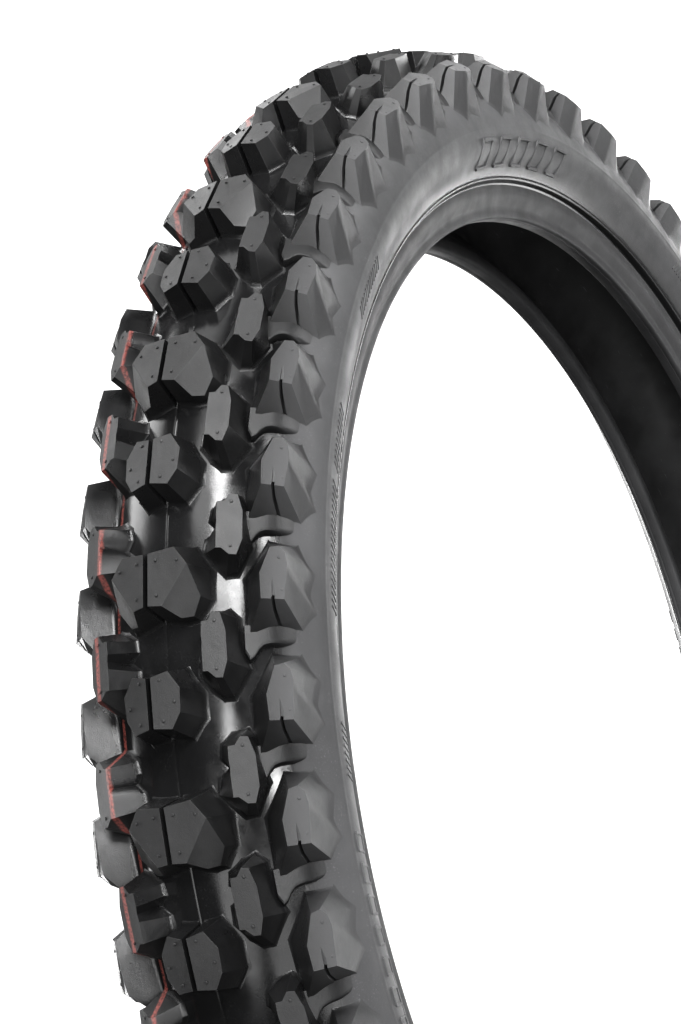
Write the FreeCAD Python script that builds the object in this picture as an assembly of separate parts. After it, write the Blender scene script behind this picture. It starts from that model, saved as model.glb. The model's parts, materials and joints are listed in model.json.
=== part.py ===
import FreeCAD, Part
import math
import os

# Knobby motorcycle tyre for a 21 inch rim, built up from its layers.
# Frame: origin at the wheel centre, axle along Y, +X forward, +Z up, millimetres.
# "left" is +Y and "right" is -Y.  The two sides mirror each other.

Vec = FreeCAD.Vector
CENTRE = Vec(0, 0, 0)
AXLE = Vec(0, 1, 0)

# Bead seat: the bore that the rim fills.
seat_r = 266.0
toe_y = 22.6
heel_y = 29.0
heel_round = 1.5
flange_face_top_r = 271.0
toe_top = (21.9, 268.4)
rim_line = [(35.2, 280.6), (35.3, 281.8), (36.75, 282.6)]

# Outer profile: three tangent arcs, crown, shoulder and sidewall bulge.
crown_centre_r = 289.9
crown_outer_radius = 52.1
shoulder_radius = 31.0
bulge_radius = 20.0
shoulder_start_deg = 47.6
bulge_start_deg = 90.0
bulge_end_deg = 122.0

# Casing: the two plies meet on a line made of a crown arc, a side arc, a straight and the bead turn-up.
ply_thickness = 0.7
ply_crown_radius = 45.6
ply_side_radius = 19.0
ply_side_start_deg = 62.0
bead_centre = (26.4, 271.0)
turn_radius = 2.6
turn_up_tilt_deg = 20.0
turn_up_length = 12.0
liner_thickness = 0.8
liner_end = 7.0
filler_height = 9.6

# Crown rubber layers, all concentric with the crown arc.
breaker_thickness = 1.0
breaker_half_deg = 34.0
undertread_thickness = 1.6
undertread_half_deg = 40.0
tread_edge_deg = 44.0

# Bead wires: six round one.
wire_radius = 0.5
wire_spacing = 1.2
wires_round_core = 6

# Tread pattern.  Arc lengths along the tread are measured at pattern_r.
pattern_r = 355.0
pitch_count = 48
pitch_deg = 360.0 / pitch_count
first_block_deg = -27.63
root_factor = 1.35
cutter_half_deg = 12.0

# Each block is (top outline, foot outline), right half, as (distance from centre plane, radius, arc length).
CROWN_NARROW = (
    [(1.0, 355.9, 2.0), (7.9, 354.6, 1.2), (11.6, 353.6, 6.9), (12.0, 353.5, 15.8), (7.6, 354.4, 22.4),
     (1.0, 355.7, 20.8)],
    [(1.0, 342.0, -1.5), (8.8, 341.2, -2.0), (14.6, 340.0, 4.9), (15.2, 339.8, 17.2), (8.8, 341.2, 25.8),
     (1.0, 342.0, 24.2)])
CROWN_WIDE = (
    [(1.0, 355.7, 0.6), (6.1, 354.9, 0.2), (9.5, 346.6, -3.0), (13.7, 344.6, -2.8), (17.6, 346.2, 3.7),
     (16.6, 352.6, 14.8), (11.4, 353.9, 22.0), (1.0, 355.5, 20.8)],
    [(1.0, 342.0, -3.5), (6.4, 341.6, -4.5), (9.9, 341.2, -4.8), (15.0, 339.8, -4.6), (20.0, 338.0, 3.2),
     (19.8, 338.1, 16.2), (12.8, 340.4, 25.6), (1.0, 342.0, 24.4)])
INTERMEDIATE = (
    [(20.6, 351.2, -2.9), (26.8, 348.6, -5.9), (29.3, 347.6, 0.1), (29.2, 347.6, 11.5), (27.5, 348.4, 18.1),
     (21.2, 351.0, 17.2)],
    [(18.6, 338.6, -6.0), (27.2, 334.4, -9.4), (30.7, 332.0, -1.8), (30.7, 332.0, 12.4), (27.4, 334.2, 20.4),
     (18.6, 338.6, 20.0)])
SHOULDER = (
    [(39.7, 340.1, 0.0), (39.9, 340.9, 9.8), (42.2, 337.6, 20.6), (44.6, 335.2, 21.4), (46.3, 333.4, 19.4),
     (46.9, 333.4, 12.5), (46.3, 334.7, -0.4)],
    [(35.5, 328.0, -8.0), (34.0, 329.4, 10.0), (38.0, 325.5, 27.0), (43.1, 318.4, 25.8), (45.2, 312.9, 17.0),
     (45.4, 312.6, 0.0), (43.3, 318.0, -5.2)])
OUTBOARD_SHIFT = 5.4

# Where each block type sits: first pitch, step in pitches.
CROWN_NARROW_AT = (0.0, 2)
CROWN_WIDE_AT = (1.0, 2)
INBOARD_AT = (0.5, 2)
OUTBOARD_AT = (1.5, 2)
SHOULDER_AT = (0.0, 1)


def section(y, r):
    """Point of the cross-section, which lies in the plane X = 0 above the axle."""
    return Vec(0, y, r)


def on_circle(centre, radius, degrees):
    """Point on a circle of the section, by its angle from straight up towards +Y."""
    angle = math.radians(degrees)
    return section(centre[0] + radius * math.sin(angle), centre[1] + radius * math.cos(angle))


def arc(centre, radius, start_deg, end_deg):
    middle = on_circle(centre, radius, (start_deg + end_deg) / 2)
    return Part.Arc(on_circle(centre, radius, start_deg), middle, on_circle(centre, radius, end_deg)).toShape()


def lines(points):
    return [Part.makeLine(a, b) for a, b in zip(points, points[1:])]


def face_of(edges):
    wire = Part.Wire(Part.__sortEdges__(edges))
    return Part.Face(wire)


def ring_of(face):
    return face.revolve(CENTRE, AXLE, 360)


def mirrored(shape):
    return shape.mirror(CENTRE, AXLE)


def mirrored_edges(edges):
    return [mirrored(edge) for edge in edges]


CROWN = (0.0, crown_centre_r)
SHOULDER_CENTRE = (
    (crown_outer_radius - shoulder_radius) * math.sin(math.radians(shoulder_start_deg)),
    crown_centre_r + (crown_outer_radius - shoulder_radius) * math.cos(math.radians(shoulder_start_deg)))
BULGE_CENTRE = (SHOULDER_CENTRE[0] + shoulder_radius - bulge_radius, SHOULDER_CENTRE[1])
PLY_SIDE_CENTRE = (
    (ply_crown_radius - ply_side_radius) * math.sin(math.radians(ply_side_start_deg)),
    crown_centre_r + (ply_crown_radius - ply_side_radius) * math.cos(math.radians(ply_side_start_deg)))


def straight_lean():
    """Lean of the ply's straight run from the radial direction, so that it is tangent to both arcs."""
    dy = bead_centre[0] - PLY_SIDE_CENTRE[0]
    dr = PLY_SIDE_CENTRE[1] - bead_centre[1]
    return math.asin((ply_side_radius + turn_radius) / math.hypot(dy, dr)) - math.atan2(dy, dr)


LEAN = straight_lean()
LEAN_DEG = math.degrees(LEAN)
INTO_BEAD = (math.cos(LEAN), -math.sin(LEAN))
TILT = math.radians(turn_up_tilt_deg)


def straight_foot(offset):
    """Where the ply's straight run meets the bead turn, for a surface this far outside the ply line."""
    reach = turn_radius - offset
    return section(bead_centre[0] - reach * INTO_BEAD[0], bead_centre[1] - reach * INTO_BEAD[1])


def straight_point(offset, height):
    foot = straight_foot(offset)
    return foot + section(height * math.sin(LEAN), height * math.cos(LEAN))


def turn_up_point(offset, height):
    reach = turn_radius - offset
    foot = section(bead_centre[0] + reach * math.cos(TILT), bead_centre[1] - reach * math.sin(TILT))
    return foot + section(height * math.sin(TILT), height * math.cos(TILT))


def crown_to_straight(offset, height, from_deg=0.0):
    """Edges of a casing surface from the crown to this height on the straight run, one side."""
    side_end_deg = 90.0 + LEAN_DEG
    return [
        arc(CROWN, ply_crown_radius + offset, from_deg, ply_side_start_deg),
        arc(PLY_SIDE_CENTRE, ply_side_radius + offset, ply_side_start_deg, side_end_deg),
        Part.makeLine(on_circle(PLY_SIDE_CENTRE, ply_side_radius + offset, side_end_deg),
                      straight_point(offset, height))]


def bead_turn(offset):
    """Arc of the plies under the bead, from the straight run round to the turn-up."""
    return arc(bead_centre, turn_radius - offset, LEAN_DEG - 90.0, -270.0 + turn_up_tilt_deg)


def casing_surface(offset):
    """One side of a ply surface, from the crown round the bead to the top of the turn-up."""
    edges = crown_to_straight(offset, 0.0)
    edges.append(bead_turn(offset))
    edges.append(Part.makeLine(turn_up_point(offset, 0.0), turn_up_point(offset, turn_up_length)))
    return edges


def ply(inner_offset, outer_offset):
    inner = casing_surface(inner_offset)
    outer = casing_surface(outer_offset)
    cap = lines([turn_up_point(inner_offset, turn_up_length), turn_up_point(outer_offset, turn_up_length)])
    half = inner + outer + cap
    return ring_of(face_of(half + mirrored_edges(half)))


def inner_liner():
    outer = crown_to_straight(-ply_thickness, liner_end)
    inner = crown_to_straight(-ply_thickness - liner_thickness, liner_end)
    cap = lines([straight_point(-ply_thickness, liner_end),
                 straight_point(-ply_thickness - liner_thickness, liner_end)])
    half = outer + inner + cap
    return ring_of(face_of(half + mirrored_edges(half)))


def crown_layer(inner_radius, outer_radius, half_deg):
    """A strip of even thickness across the crown."""
    edges = [
        arc(CROWN, inner_radius, -half_deg, half_deg),
        arc(CROWN, outer_radius, -half_deg, half_deg)]
    for side in (-1, 1):
        edges += lines([on_circle(CROWN, inner_radius, side * half_deg),
                        on_circle(CROWN, outer_radius, side * half_deg)])
    return edges


CASING_TOP = ply_crown_radius + ply_thickness
BREAKER_TOP = CASING_TOP + breaker_thickness
UNDERTREAD_TOP = BREAKER_TOP + undertread_thickness


def breaker_strip():
    return ring_of(face_of(crown_layer(CASING_TOP, BREAKER_TOP, breaker_half_deg)))


def stepped_layer(step_radius, step_deg, top_radius, edge_deg):
    """A crown layer that covers a narrower one and comes down to the casing beyond its edges."""
    edges = [
        arc(CROWN, top_radius, -edge_deg, edge_deg),
        arc(CROWN, step_radius, -step_deg, step_deg)]
    for side in (-1, 1):
        edges.append(arc(CROWN, CASING_TOP, side * step_deg, side * edge_deg))
        edges += lines([on_circle(CROWN, step_radius, side * step_deg),
                        on_circle(CROWN, CASING_TOP, side * step_deg)])
        edges += lines([on_circle(CROWN, CASING_TOP, side * edge_deg),
                        on_circle(CROWN, top_radius, side * edge_deg)])
    return ring_of(face_of(edges))


def undertread():
    return stepped_layer(BREAKER_TOP, breaker_half_deg, UNDERTREAD_TOP, undertread_half_deg)


def tread_band():
    return stepped_layer(UNDERTREAD_TOP, undertread_half_deg, crown_outer_radius, tread_edge_deg)


def outer_side(from_deg):
    """Outer profile from a point on the crown arc down to the rim line, one side."""
    return [
        arc(CROWN, crown_outer_radius, from_deg, shoulder_start_deg),
        arc(SHOULDER_CENTRE, shoulder_radius, shoulder_start_deg, bulge_start_deg),
        arc(BULGE_CENTRE, bulge_radius, bulge_start_deg, bulge_end_deg),
        Part.makeLine(on_circle(BULGE_CENTRE, bulge_radius, bulge_end_deg), section(*rim_line[2]))]


def sidewall():
    rim_groove = section(*rim_line[1])
    edges = outer_side(tread_edge_deg)
    edges += lines([section(*rim_line[2]), rim_groove, turn_up_point(-ply_thickness, turn_up_length),
                    turn_up_point(ply_thickness, turn_up_length), straight_point(ply_thickness, filler_height)])
    edges += crown_to_straight(ply_thickness, filler_height, tread_edge_deg)
    edges += lines([on_circle(CROWN, CASING_TOP, tread_edge_deg),
                    on_circle(CROWN, crown_outer_radius, tread_edge_deg)])
    return ring_of(face_of(edges))


def bead_filler():
    """Wedge of hard rubber above the wires, between the casing and its turn-up."""
    core = turn_radius - ply_thickness
    edges = [arc(bead_centre, core, LEAN_DEG - 90.0, 90.0 + turn_up_tilt_deg)]
    edges += lines([straight_foot(ply_thickness), straight_point(ply_thickness, filler_height),
                    turn_up_point(ply_thickness, turn_up_length), turn_up_point(ply_thickness, 0.0)])
    return ring_of(face_of(edges))


def wire_centres():
    centres = [bead_centre]
    for index in range(wires_round_core):
        angle = 2 * math.pi * index / wires_round_core
        centres.append((bead_centre[0] + wire_spacing * math.cos(angle),
                        bead_centre[1] + wire_spacing * math.sin(angle)))
    return centres


def disc(centre, radius):
    circle = Part.Circle(section(*centre), Vec(1, 0, 0), radius)
    return Part.Face(Part.Wire(circle.toShape()))


def bead_wires():
    return Part.makeCompound([ring_of(disc(centre, wire_radius)) for centre in wire_centres()])


def bead_insulation():
    """Rubber round the wires, with a hole for each one."""
    round_section = disc(bead_centre, turn_radius - ply_thickness)
    holes = [disc(centre, wire_radius) for centre in wire_centres()]
    return ring_of(round_section.cut(holes).Faces[0])


def chafer():
    """Strip that wraps the bead, from the end of the liner round the toe and heel to the rim line."""
    inner_end = straight_point(-ply_thickness - liner_thickness, liner_end)
    face_low = section(heel_y + heel_round, seat_r + heel_round)
    heel = Part.Arc(section(heel_y, seat_r),
                    section(heel_y + heel_round * math.sin(math.pi / 4),
                            seat_r + heel_round * (1 - math.cos(math.pi / 4))),
                    face_low).toShape()
    edges = lines([straight_point(-ply_thickness, liner_end), inner_end,
                   straight_foot(-ply_thickness - liner_thickness), section(*toe_top),
                   section(toe_y, seat_r), section(heel_y, seat_r)])
    edges.append(heel)
    edges += lines([face_low, section(heel_y + heel_round, flange_face_top_r), section(*rim_line[0]),
                    section(*rim_line[1]), turn_up_point(-ply_thickness, turn_up_length),
                    turn_up_point(-ply_thickness, 0.0)])
    edges.append(bead_turn(-ply_thickness))
    edges += lines([straight_foot(-ply_thickness), straight_point(-ply_thickness, liner_end)])
    return ring_of(face_of(edges))


def on_tyre(y, r, degrees):
    """Point at this distance right of the centre plane, radius and angle from -X up towards +Z."""
    angle = math.radians(degrees)
    return Vec(-r * math.cos(angle), -y, r * math.sin(angle))


def block_point(corner):
    y, r, length = corner
    return on_tyre(y, r, math.degrees(length / pattern_r))


def fan(points):
    """Triangles from the middle of a ring of points to each of its sides."""
    middle = Vec(0, 0, 0)
    for point in points:
        middle += point / len(points)
    count = len(points)
    return [triangle(middle, points[i], points[(i + 1) % count]) for i in range(count)]


def triangle(a, b, c):
    return Part.Face(Part.makePolygon([a, b, c, a]))


def block(outlines, shift=0.0):
    """One tread block: a top, drafted flanks, and a root that is cut flush with the casing's surface."""
    top = [block_point(moved(corner, shift)) for corner in outlines[0]]
    feet = [block_point(moved(corner, shift)) for corner in outlines[1]]
    root = [t + (f - t) * root_factor for t, f in zip(top, feet)]
    faces = fan(top) + fan(root)
    count = len(top)
    for i in range(count):
        j = (i + 1) % count
        faces.append(triangle(top[i], top[j], root[i]))
        faces.append(triangle(top[j], root[j], root[i]))
    solid = Part.Solid(Part.Shell(faces))
    if solid.Volume < 0:
        solid.reverse()
    return solid.cut(casing_sector()).Solids[0]


def moved(corner, shift):
    """Shift a corner outboard, lowering it with the crown's curve."""
    y, r, length = corner
    drop = crown_height(y) - crown_height(y + shift)
    return (y + shift, r - drop, length)


def crown_height(y):
    return math.sqrt(crown_outer_radius ** 2 - y ** 2)


def casing_sector():
    """Solid inside the outer profile, through the angle that one block covers."""
    edges = outer_side(0.0)
    edges += lines([section(*rim_line[2]), section(0, rim_line[2][1]), on_circle(CROWN, crown_outer_radius, 0.0)])
    half = face_of(edges)
    half.rotate(CENTRE, AXLE, -90.0 - cutter_half_deg)
    sector = half.revolve(CENTRE, AXLE, 2 * cutter_half_deg)
    return sector.fuse(mirrored(sector))


def row(prototype, place):
    """Copies of a block round the tyre, as a group of separate solids."""
    first, step = place
    copies = []
    for index in range(0, pitch_count, step):
        copy = prototype.copy()
        copy.rotate(CENTRE, AXLE, first_block_deg + (first + index) * pitch_deg)
        copies.append(copy)
    return Part.makeCompound(copies)


def export(name, shape):
    shape.exportStep("parts/" + name + ".step")
    print(name, "solids", len(shape.Solids), "valid", shape.isValid(), "volume", round(shape.Volume))


def export_pair(name, right_shape):
    export(name + "_right", right_shape)
    export(name + "_left", mirrored(right_shape))


def main():
    os.makedirs("parts", exist_ok=True)
    export("inner_liner", inner_liner())
    export("casing_ply_inner", ply(-ply_thickness, 0.0))
    export("casing_ply_outer", ply(0.0, ply_thickness))
    export("breaker_strip", breaker_strip())
    export("undertread", undertread())
    export("tread_band", tread_band())
    for name, make in (("bead_wires", bead_wires), ("bead_insulation", bead_insulation),
                       ("bead_filler", bead_filler), ("chafer", chafer), ("sidewall", sidewall)):
        export_pair(name, mirrored(make()))
    export_pair("crown_blocks_narrow", row(block(CROWN_NARROW), CROWN_NARROW_AT))
    export_pair("crown_blocks_wide", row(block(CROWN_WIDE), CROWN_WIDE_AT))
    export_pair("intermediate_blocks_inboard", row(block(INTERMEDIATE), INBOARD_AT))
    export_pair("intermediate_blocks_outboard", row(block(INTERMEDIATE, OUTBOARD_SHIFT), OUTBOARD_AT))
    export_pair("shoulder_blocks", row(block(SHOULDER), SHOULDER_AT))


main()
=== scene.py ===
import json
import math

import bmesh
import bpy
import numpy as np
from mathutils import Matrix, Vector


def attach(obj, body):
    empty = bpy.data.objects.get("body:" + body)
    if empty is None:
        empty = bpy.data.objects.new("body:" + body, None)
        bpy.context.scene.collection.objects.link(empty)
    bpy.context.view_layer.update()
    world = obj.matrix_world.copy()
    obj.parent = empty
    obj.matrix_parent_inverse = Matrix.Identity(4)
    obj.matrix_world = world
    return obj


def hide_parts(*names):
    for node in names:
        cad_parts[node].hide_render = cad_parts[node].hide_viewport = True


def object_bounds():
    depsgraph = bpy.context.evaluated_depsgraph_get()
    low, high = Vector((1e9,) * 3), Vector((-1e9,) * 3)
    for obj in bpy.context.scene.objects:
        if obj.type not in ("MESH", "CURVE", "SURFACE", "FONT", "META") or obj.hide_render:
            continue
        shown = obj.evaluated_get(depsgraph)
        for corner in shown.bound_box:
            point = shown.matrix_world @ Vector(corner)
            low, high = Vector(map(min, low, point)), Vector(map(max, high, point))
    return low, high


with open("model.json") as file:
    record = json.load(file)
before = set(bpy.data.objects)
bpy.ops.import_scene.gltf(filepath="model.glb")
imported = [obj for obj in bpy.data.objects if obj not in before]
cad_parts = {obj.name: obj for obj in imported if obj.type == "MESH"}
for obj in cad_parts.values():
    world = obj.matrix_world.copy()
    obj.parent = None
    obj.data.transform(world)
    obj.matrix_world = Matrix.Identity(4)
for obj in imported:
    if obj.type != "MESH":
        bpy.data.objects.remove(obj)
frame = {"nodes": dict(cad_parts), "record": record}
cad_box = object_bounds()
scene = bpy.context.scene

MM = 0.001
record = frame["record"]


def outer_radius(node):
    """Largest distance of a CAD node from the axle, in mm."""
    return max(math.hypot(v.co.x, v.co.z) for v in frame["nodes"][node].data.vertices) / MM


def mount(name):
    return next(m for m in record["mounts"] if m["name"] == name)


# Driving dimensions, in mm.  The frame gives the radii, and the rest is the tread and bead design.
FLOOR_R = outer_radius("tread_band")
SEAT_R = mount("bead_seat")["dims"]["r_mm"]
HEEL_W = mount("bead_seat")["dims"]["length_mm"] / 2
PATTERN_R = 355.0
PITCHES = 48
PITCH = 2 * math.pi / PITCHES
FIRST_BLOCK = math.radians(-27.63)
RING_STEPS = 576
SINK = 0.2

# Outer profile of the casing: three tangent arcs and a straight run down to the rim line.
CROWN_ARC = 52.1
SHOULDER_ARC = 31.0
BULGE_ARC = 20.0
SHOULDER_START = math.radians(47.6)
BULGE_START = math.radians(90.0)
BULGE_END = math.radians(122.0)
CROWN_LENGTH = CROWN_ARC * SHOULDER_START
SHOULDER_LENGTH = SHOULDER_ARC * (BULGE_START - SHOULDER_START)
BULGE_LENGTH = BULGE_ARC * (BULGE_END - BULGE_START)
CROWN_CENTRE = (0.0, FLOOR_R - CROWN_ARC)
SHOULDER_CENTRE = (
    (CROWN_ARC - SHOULDER_ARC) * math.sin(SHOULDER_START),
    CROWN_CENTRE[1] + (CROWN_ARC - SHOULDER_ARC) * math.cos(SHOULDER_START))
BULGE_CENTRE = (SHOULDER_CENTRE[0] + SHOULDER_ARC - BULGE_ARC, SHOULDER_CENTRE[1])
TREAD_EDGE_ANGLE = math.radians(44.0)
TREAD_EDGE = CROWN_ARC * TREAD_EDGE_ANGLE


def arc_point(centre, radius, angle):
    return (centre[0] + radius * math.sin(angle), centre[1] + radius * math.cos(angle))


def surface(p):
    """Point (w, r) and outward normal of the casing, p mm across it from the centre line."""
    sign = 1.0 if p >= 0 else -1.0
    run = abs(p)
    if run <= CROWN_LENGTH:
        angle = run / CROWN_ARC
        w, r = arc_point(CROWN_CENTRE, CROWN_ARC, angle)
    elif run <= CROWN_LENGTH + SHOULDER_LENGTH:
        angle = SHOULDER_START + (run - CROWN_LENGTH) / SHOULDER_ARC
        w, r = arc_point(SHOULDER_CENTRE, SHOULDER_ARC, angle)
    elif run <= CROWN_LENGTH + SHOULDER_LENGTH + BULGE_LENGTH:
        angle = BULGE_START + (run - CROWN_LENGTH - SHOULDER_LENGTH) / BULGE_ARC
        w, r = arc_point(BULGE_CENTRE, BULGE_ARC, angle)
    else:
        angle = BULGE_END
        w, r = arc_point(BULGE_CENTRE, BULGE_ARC, angle)
        rest = run - CROWN_LENGTH - SHOULDER_LENGTH - BULGE_LENGTH
        w += rest * math.cos(angle)
        r -= rest * math.sin(angle)
    return sign * w, r, (sign * math.sin(angle), math.cos(angle))


def raised(p, height):
    w, r, normal = surface(p)
    return w + height * normal[0], r + height * normal[1]


def on_tire(w, r, s):
    """Point at width w right of the centre plane, radius r and distance s round the tread."""
    angle = s / PATTERN_R
    return np.array([-r * math.cos(angle), -w, r * math.sin(angle)])


# ---------------------------------------------------------------- tread blocks

# A block is an outline of its top and one of its foot, point for point, on the right half.
# Top points are (width from the centre plane, height over the crown floor, distance round).
# Foot points are (distance across the casing from the centre line, distance round the tread).
# "caps" lists the faces of the top where it isn't one face.
# "pips" are vent stubs, as (width from the centre plane, distance round the tread).
# "slots" are cuts, as (start, end, depth), with the two ends given like top points.
# "fillets" are foot radii that differ from FILLET, by the number of the corner.

CROWN_NARROW = {
    "top": [(1.0, 13.9, 2.2), (7.9, 12.4, 1.2), (11.5, 11.8, 6.9), (12.0, 11.7, 15.8),
            (7.6, 12.3, 22.4), (1.0, 13.8, 20.8)],
    "foot": [(1.0, -0.8), (9.0, -2.0), (14.4, 4.9), (14.2, 14.6), (8.4, 24.8), (1.0, 24.0)],
    "pips": [(5.0, 4.6), (4.4, 19.4), (9.6, 11.0)],
}
CROWN_WIDE = {
    "top": [(1.0, 13.4, 0.7), (6.1, 12.1, 0.2), (9.5, 4.4, -3.3), (13.7, 2.2, -2.9),
            (17.9, 4.1, 3.7), (16.6, 11.1, 14.8), (11.4, 11.9, 22.0), (1.0, 13.4, 20.8)],
    "caps": [[0, 1, 5, 6, 7], [1, 2, 5], [2, 3, 4, 5]],
    "foot": [(1.0, -2.6), (6.6, -3.8), (9.9, -4.6), (14.6, -4.0), (19.4, 3.2), (19.6, 15.4),
             (13.0, 25.6), (1.0, 24.2)],
    "pips": [(4.2, 17.8), (4.4, 4.4), (12.6, 16.8)],
}
INTERMEDIATE = {
    "top": [(20.5, 8.9, -2.9), (22.3, 8.4, -3.0), (24.9, 7.6, -5.7), (27.4, 6.8, -6.0),
            (29.4, 6.3, 0.1), (29.4, 6.3, 11.5), (27.7, 6.9, 18.3), (25.1, 7.7, 18.7),
            (23.1, 8.2, 15.8), (20.8, 8.9, 15.7), (20.5, 8.9, 10.8), (20.7, 8.9, 8.0),
            (20.5, 8.9, 5.2)],
    "foot": [(12.8, -2.0), (17.4, -8.4), (21.4, -12.2), (25.2, -12.4), (32.2, -1.6),
             (28.8, 8.6), (28.6, 18.6), (25.0, 22.6), (20.0, 20.6), (14.8, 16.8),
             (14.0, 12.4), (18.4, 8.4), (13.2, 4.4)],
    "pips": [(25.6, 15.4), (25.4, -2.4)],
}
OUTBOARD_SHIFT = 5.4
OUTBOARD_FOOT = [(15.2, -0.8), (19.4, -5.8), (24.0, -11.0), (28.2, -10.6), (34.0, 1.2),
                 (32.0, 9.0), (31.4, 19.0), (28.6, 22.6), (22.8, 21.4), (18.6, 17.4),
                 (17.8, 12.6), (21.0, 8.6), (16.4, 4.8)]
SHOULDER = {
    "top": [(39.7, -1.9, 0.0), (39.9, -1.1, 9.8), (42.2, -4.5, 20.6), (44.6, -6.9, 21.4),
            (46.2, -8.6, 19.0), (46.6, -9.4, 14.6), (46.8, -8.6, 11.4), (46.3, -7.3, -0.4)],
    "foot": [(30.2, -15.0), (30.6, 11.4), (39.6, 27.4), (50.4, 26.6), (57.9, 16.2), (54.6, 6.4),
             (58.6, -1.4), (51.8, -8.4)],
    "slots": [((43.9, -4.1, 10.2), (43.3, -4.6, -0.3), 0.45),
              ((43.25, -4.2, 0.3), (39.2, -15.2, -11.2), 2.6)],
    "pips": [(41.4, 9.4), (44.6, 16.6), (45.4, 3.4)],
    "fillets": {0: 0.8, 3: 3.0, 4: 4.0, 5: 4.0, 6: 3.0},
}
SLOT_WIDTH = 1.1
SLOT_REACH = 5.0
LEDGE_START = (29.0, -18.6)
LEDGE_HEIGHT = 3.3
LEDGE_SINK = 0.3
LEDGE_ROOT = 1.0
LEDGE_FRONT = -8.0
LEDGE_BACK = [(29.8, -19.5), (31.2, -22.4), (32.8, -21.2), (34.4, -18.6), (36.0, -16.9),
              (38.0, -16.2), (40.0, -16.0), (42.0, -16.0), (44.0, -15.8), (46.0, -15.3),
              (48.0, -14.6), (50.0, -13.6)]
LEDGE_FADE = 11.0
# The ledge's profile along its far edge: (distance past the edge, share of the height, drop).
LEDGE_EDGE = [(2.4, 1.0, 0.0), (1.1, 0.9, 0.05), (0.2, 0.6, 0.2), (-0.4, 0.0, 0.5)]
FILLET = 1.8
FILLET_STEPS = 3
# A fillet reaches up to this share of its flank at most.
FILLET_SHARE = 0.6
# Foot corners nearer to the centre line than this flare only along the tread.
CENTRE_EDGE = 2.0
PIP_RADIUS = 0.6
PIP_HEIGHT = 0.4
PIP_SIDES = 10
# Rings of a stub from its foot up: (share of the radius, rise).
PIP_LEVELS = [(1.0, -0.5), (1.0, 0.7 * PIP_HEIGHT), (0.7, PIP_HEIGHT)]
BLOCK_EDGE = 0.45
MARK_EDGE = 0.15
ROUNDED_ANGLE = math.radians(32.0)
SHARP_ANGLE = math.radians(40.0)


def crown_height(w):
    return math.sqrt(CROWN_ARC ** 2 - w ** 2)


def shifted(block, shift, foot):
    """The same top further out, lowered with the crown's curve, on a foot of its own."""
    def lower(w, h):
        return h - crown_height(w) + crown_height(w + shift)
    return {
        "top": [(w + shift, lower(w, h), s) for w, h, s in block["top"]],
        "foot": foot,
        "pips": [(w + shift, s) for w, s in block["pips"]],
    }


OUTBOARD = shifted(INTERMEDIATE, OUTBOARD_SHIFT, OUTBOARD_FOOT)
# Rows of blocks: (name, block, first pitch, step in pitches).
BLOCK_ROWS = [
    ("crown_blocks_narrow", CROWN_NARROW, 0.0, 2),
    ("crown_blocks_wide", CROWN_WIDE, 1.0, 2),
    ("intermediate_blocks_inboard", INTERMEDIATE, 0.5, 2),
    ("intermediate_blocks_outboard", OUTBOARD, 1.5, 2),
    ("shoulder_blocks", SHOULDER, 0.0, 1),
]


def outward(points, i):
    """Outward direction of a corner of an outline, in the plane of its two coordinates."""
    count = len(points)
    before = np.array(points[i - 1])
    here = np.array(points[i])
    after = np.array(points[(i + 1) % count])
    normal = np.zeros(2)
    for a, b in ((before, here), (here, after)):
        edge = b - a
        normal += np.array([edge[1], -edge[0]]) / max(np.linalg.norm(edge), 1e-6)
    area = sum(points[k - 1][0] * points[k][1] - points[k][0] * points[k - 1][1]
               for k in range(count))
    if area < 0:
        normal = -normal
    return normal / max(np.linalg.norm(normal), 1e-6)


def block_rings(block):
    """Rings of points from the top of a block down its flanks and round the fillet at its foot."""
    top = [on_tire(w, FLOOR_R + h, s) for w, h, s in block["top"]]
    columns = []
    for i, (p, s) in enumerate(block["foot"]):
        direction = outward(block["foot"], i)
        if p < CENTRE_EDGE:
            direction = np.array([0.0, direction[1]])
        w, r, _ = surface(p)
        foot = on_tire(w, r, s)
        flank = top[i] - foot
        fillet = block.get("fillets", {}).get(i, FILLET)
        rise = min(fillet / np.linalg.norm(flank), FILLET_SHARE)
        start = foot + flank * rise
        end_w, end_r = raised(p + direction[0] * fillet, -SINK)
        end = on_tire(end_w, end_r, s + direction[1] * fillet)
        column = [top[i]]
        for step in range(FILLET_STEPS + 1):
            t = step / FILLET_STEPS
            column.append(start * (1 - t) ** 2 + foot * 2 * t * (1 - t) + end * t ** 2)
        columns.append(column)
    return [[column[level] for column in columns] for level in range(FILLET_STEPS + 2)]


def block_object(name, block):
    """One closed block, at the start of the tread pattern, with its slots cut."""
    rings = block_rings(block)
    count = len(rings[0])
    mesh = bmesh.new()
    verts = [[mesh.verts.new(point * MM) for point in ring] for ring in rings]
    for face in block.get("caps", [list(range(count))]):
        mesh.faces.new([verts[0][i] for i in face])
    for upper, lower in zip(verts, verts[1:]):
        for i in range(count):
            j = (i + 1) % count
            mesh.faces.new([upper[i], lower[i], lower[j], upper[j]])
    mesh.faces.new(list(reversed(verts[-1])))
    bmesh.ops.recalc_face_normals(mesh, faces=mesh.faces)
    obj = mesh_object(name, mesh)
    middle = np.mean(rings[0] + rings[1], axis=0)
    for number, slot in enumerate(block.get("slots", [])):
        carve(obj, slot_cutter(slot, middle, f"{name}_cutter_{number}"))
    return obj


def mesh_object(name, mesh):
    data = bpy.data.meshes.new(name)
    mesh.to_mesh(data)
    mesh.free()
    obj = bpy.data.objects.new(name, data)
    scene.collection.objects.link(obj)
    return obj


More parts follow.
